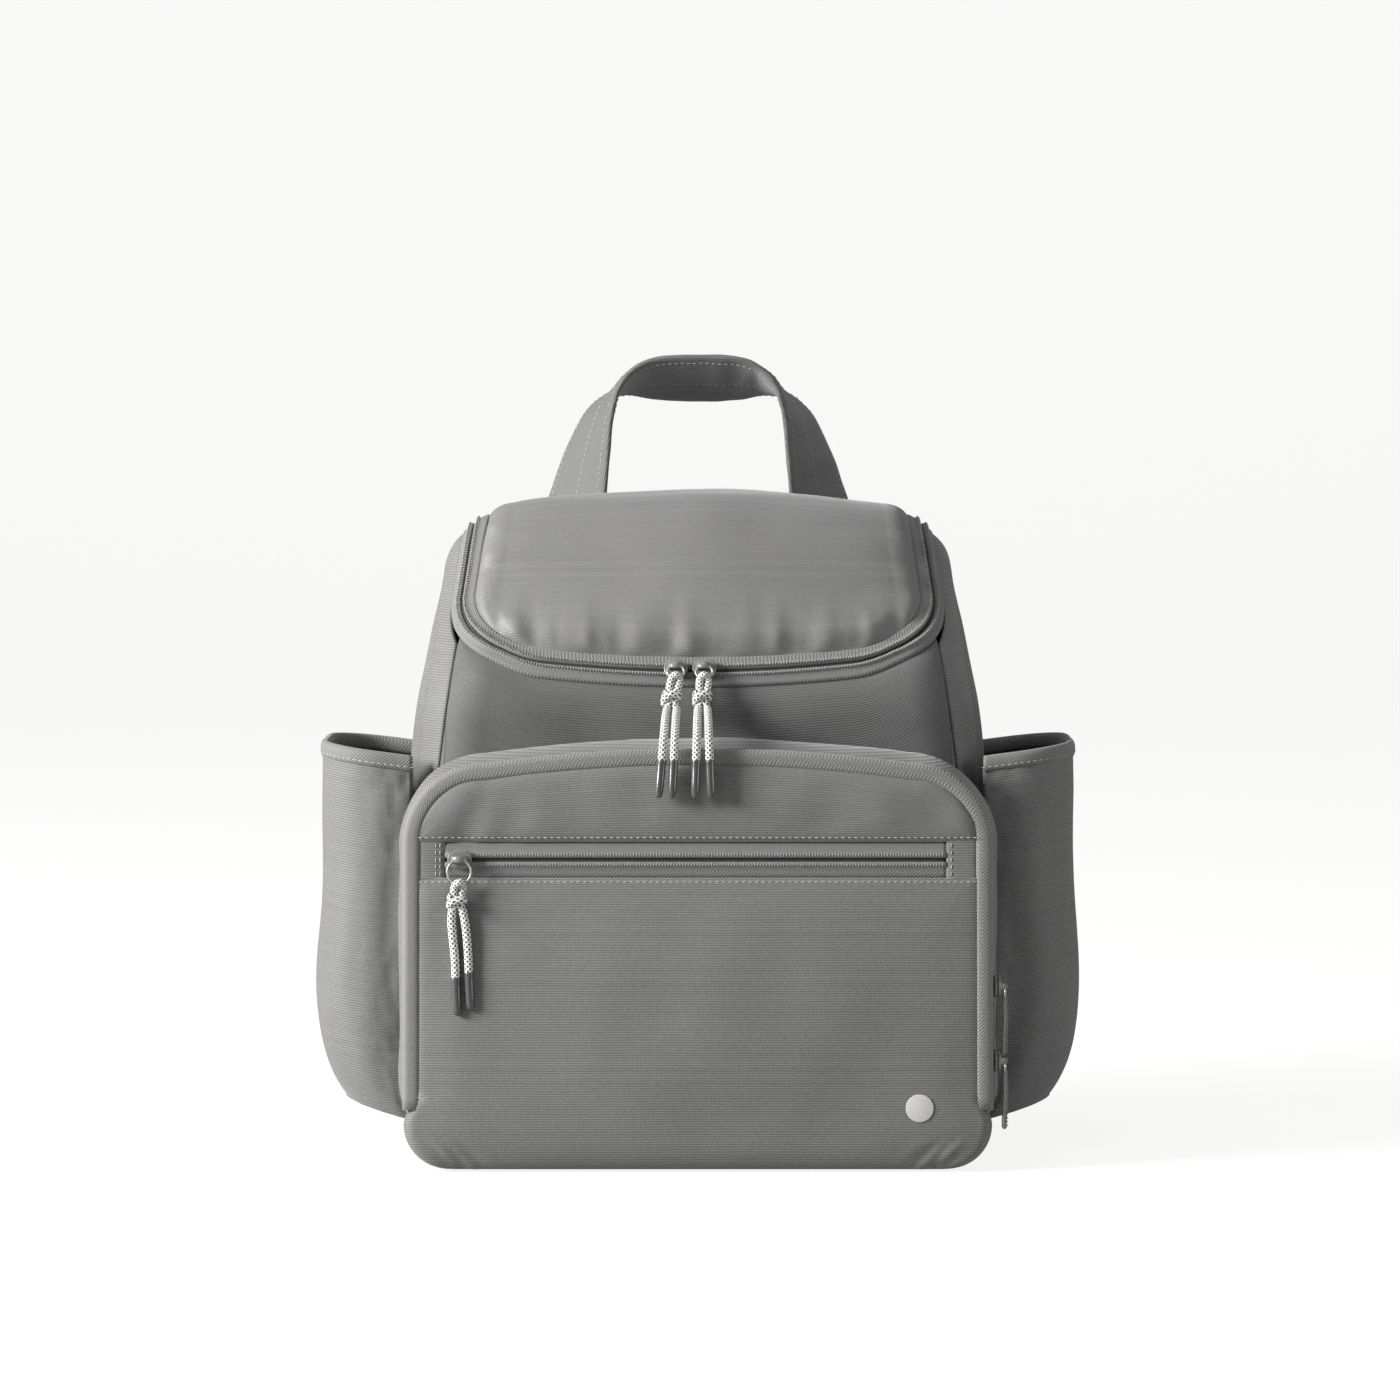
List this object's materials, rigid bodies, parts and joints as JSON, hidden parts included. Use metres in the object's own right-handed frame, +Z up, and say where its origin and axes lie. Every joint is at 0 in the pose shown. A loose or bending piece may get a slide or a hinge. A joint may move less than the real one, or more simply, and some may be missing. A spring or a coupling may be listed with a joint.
{
  "type": "diaper bag",
  "caption": "Grey ribbed-fabric nappy backpack with zipped lid, front flap pocket, side pockets, carry handle and shoulder straps.",
  "frame": {"origin": "middle of the footprint, on the surface that the bag stands on", "axes": "+Z up along the tallest side, -Y towards the front pocket, +X to the right as seen from the front"},
  "size_m": [0.3652, 0.2037, 0.3837],
  "materials": {
    "ribbed_fabric": "matte ribbed weave",
    "zip_tape": "matte herringbone tape",
    "base_cloth": "matte dark ribbed",
    "lining": "matte smooth",
    "board": "matte",
    "foam": "matte",
    "webbing": "matte woven band",
    "buckle_plastic": "satin moulded",
    "painted_metal": "satin paint",
    "patterned_cord": "matte braid",
    "cord_tip": "glossy",
    "pull_tab": "matte",
    "badge_print": "matte"
  },
  "bodies": {
    "bag": {"back_foam": "foam", "back_panel": "ribbed_fabric", "base_board": "board", "base_panel": "base_cloth", "front_panel": "ribbed_fabric", "inner_organiser": "lining", "ladder_lock_left": "buckle_plastic", "ladder_lock_right": "buckle_plastic", "lid_zip_lower": "zip_tape", "pocket_binding_left": "zip_tape", "pocket_binding_right": "zip_tape", "pocket_gusset": "ribbed_fabric", "pocket_zip_rear": "zip_tape", "shoulder_strap_left": "ribbed_fabric", "shoulder_strap_right": "ribbed_fabric", "side_panel_left": "ribbed_fabric", "side_panel_right": "ribbed_fabric", "side_pocket_left": "ribbed_fabric", "side_pocket_right": "ribbed_fabric", "strap_tab_left": "ribbed_fabric", "strap_tab_right": "ribbed_fabric", "strap_webbing_left": "webbing", "strap_webbing_right": "webbing"},
    "lid": {"lid_panel": "ribbed_fabric", "lid_zip_upper": "zip_tape"},
    "front_flap": {"flap_upper_panel": "ribbed_fabric", "flap_lower_panel": "ribbed_fabric", "slit_zip_tape": "zip_tape", "slit_end_patch_left": "ribbed_fabric", "slit_end_patch_right": "ribbed_fabric", "slit_pocket_pouch": "lining", "flap_zip_edge": "zip_tape", "badge": "badge_print"},
    "handle": {"carry_handle": "ribbed_fabric"},
    "lid_slider_left": {"lid_slider_left": "painted_metal"},
    "lid_slider_right": {"lid_slider_right": "painted_metal"},
    "slit_slider": {"slit_slider": "painted_metal"},
    "flap_slider_upper": {"flap_slider_upper": "painted_metal"},
    "flap_slider_lower": {"flap_slider_lower": "painted_metal"},
    "flap_pull_upper": {"flap_pull_upper": "pull_tab"},
    "flap_pull_lower": {"flap_pull_lower": "pull_tab"},
    "lid_pull_left": {"lid_pull_left_ring": "painted_metal", "lid_pull_left_knot": "patterned_cord", "lid_pull_left_cord_a": "patterned_cord", "lid_pull_left_cord_b": "patterned_cord", "lid_pull_left_tip_a": "cord_tip", "lid_pull_left_tip_b": "cord_tip"},
    "lid_pull_right": {"lid_pull_right_ring": "painted_metal", "lid_pull_right_knot": "patterned_cord", "lid_pull_right_cord_a": "patterned_cord", "lid_pull_right_cord_b": "patterned_cord", "lid_pull_right_tip_a": "cord_tip", "lid_pull_right_tip_b": "cord_tip"},
    "slit_pull": {"slit_pull_ring": "painted_metal", "slit_pull_knot": "patterned_cord", "slit_pull_cord_a": "patterned_cord", "slit_pull_cord_b": "patterned_cord", "slit_pull_tip_a": "cord_tip", "slit_pull_tip_b": "cord_tip"}
  },
  "joints": [
    {"name": "lid_hinge", "type": "hinge", "parent": "bag", "child": "lid", "pos_m": [0, 0.042, 0.3107], "axis": [-1, 0, 0], "range_deg": [0, 100]},
    {"name": "flap_hinge", "type": "hinge", "parent": "bag", "child": "front_flap", "pos_m": [0, -0.0988, 0.006], "axis": [1, 0, 0], "range_deg": [0, 80]},
    {"name": "handle_fold", "type": "hinge", "parent": "bag", "child": "handle", "pos_m": [0, 0.081, 0.298], "axis": [-1, 0, 0], "range_deg": [-10, 60]},
    {"name": "lid_slider_left_run", "type": "hinge", "parent": "lid", "child": "lid_slider_left", "pos_m": [0, 0.22505, 0.7195], "axis": [0, -0.8775, 0.4796], "range_deg": [-5.1, 0]},
    {"name": "lid_slider_right_run", "type": "hinge", "parent": "lid", "child": "lid_slider_right", "pos_m": [0, 0.22505, 0.7195], "axis": [0, -0.8775, 0.4796], "range_deg": [0, 5.8]},
    {"name": "lid_pull_left_swing", "type": "hinge", "parent": "lid_slider_left", "child": "lid_pull_left", "pos_m": [-0.0105, -0.04615, 0.23474], "axis": [-1, 0, 0], "range_deg": [0, 100]},
    {"name": "lid_pull_right_swing", "type": "hinge", "parent": "lid_slider_right", "child": "lid_pull_right", "pos_m": [0.003, -0.0462, 0.23465], "axis": [-1, 0, 0], "range_deg": [0, 100]},
    {"name": "slit_slider_run", "type": "slide", "parent": "front_flap", "child": "slit_slider", "axis": [1, 0, 0], "range_m": [0, 0.222]},
    {"name": "slit_pull_swing", "type": "hinge", "parent": "slit_slider", "child": "slit_pull", "pos_m": [-0.112, -0.09166, 0.14619], "axis": [-1, 0, 0], "range_deg": [0, 100]},
    {"name": "flap_slider_upper_run", "type": "slide", "parent": "bag", "child": "flap_slider_upper", "axis": [0, 0.1045, 0.9945], "range_m": [0, 0.06]},
    {"name": "flap_slider_lower_run", "type": "slide", "parent": "bag", "child": "flap_slider_lower", "axis": [0, 0.1045, 0.9945], "range_m": [-0.01, 0]},
    {"name": "flap_pull_upper_swing", "type": "hinge", "parent": "flap_slider_upper", "child": "flap_pull_upper", "pos_m": [0.1445, -0.08684, 0.08585], "axis": [0, -0.9945, 0.1045], "range_deg": [0, 90]},
    {"name": "flap_pull_lower_swing", "type": "hinge", "parent": "flap_slider_lower", "child": "flap_pull_lower", "pos_m": [0.1445, -0.0905, 0.05105], "axis": [0, -0.9945, 0.1045], "range_deg": [0, 90]}
  ]
}
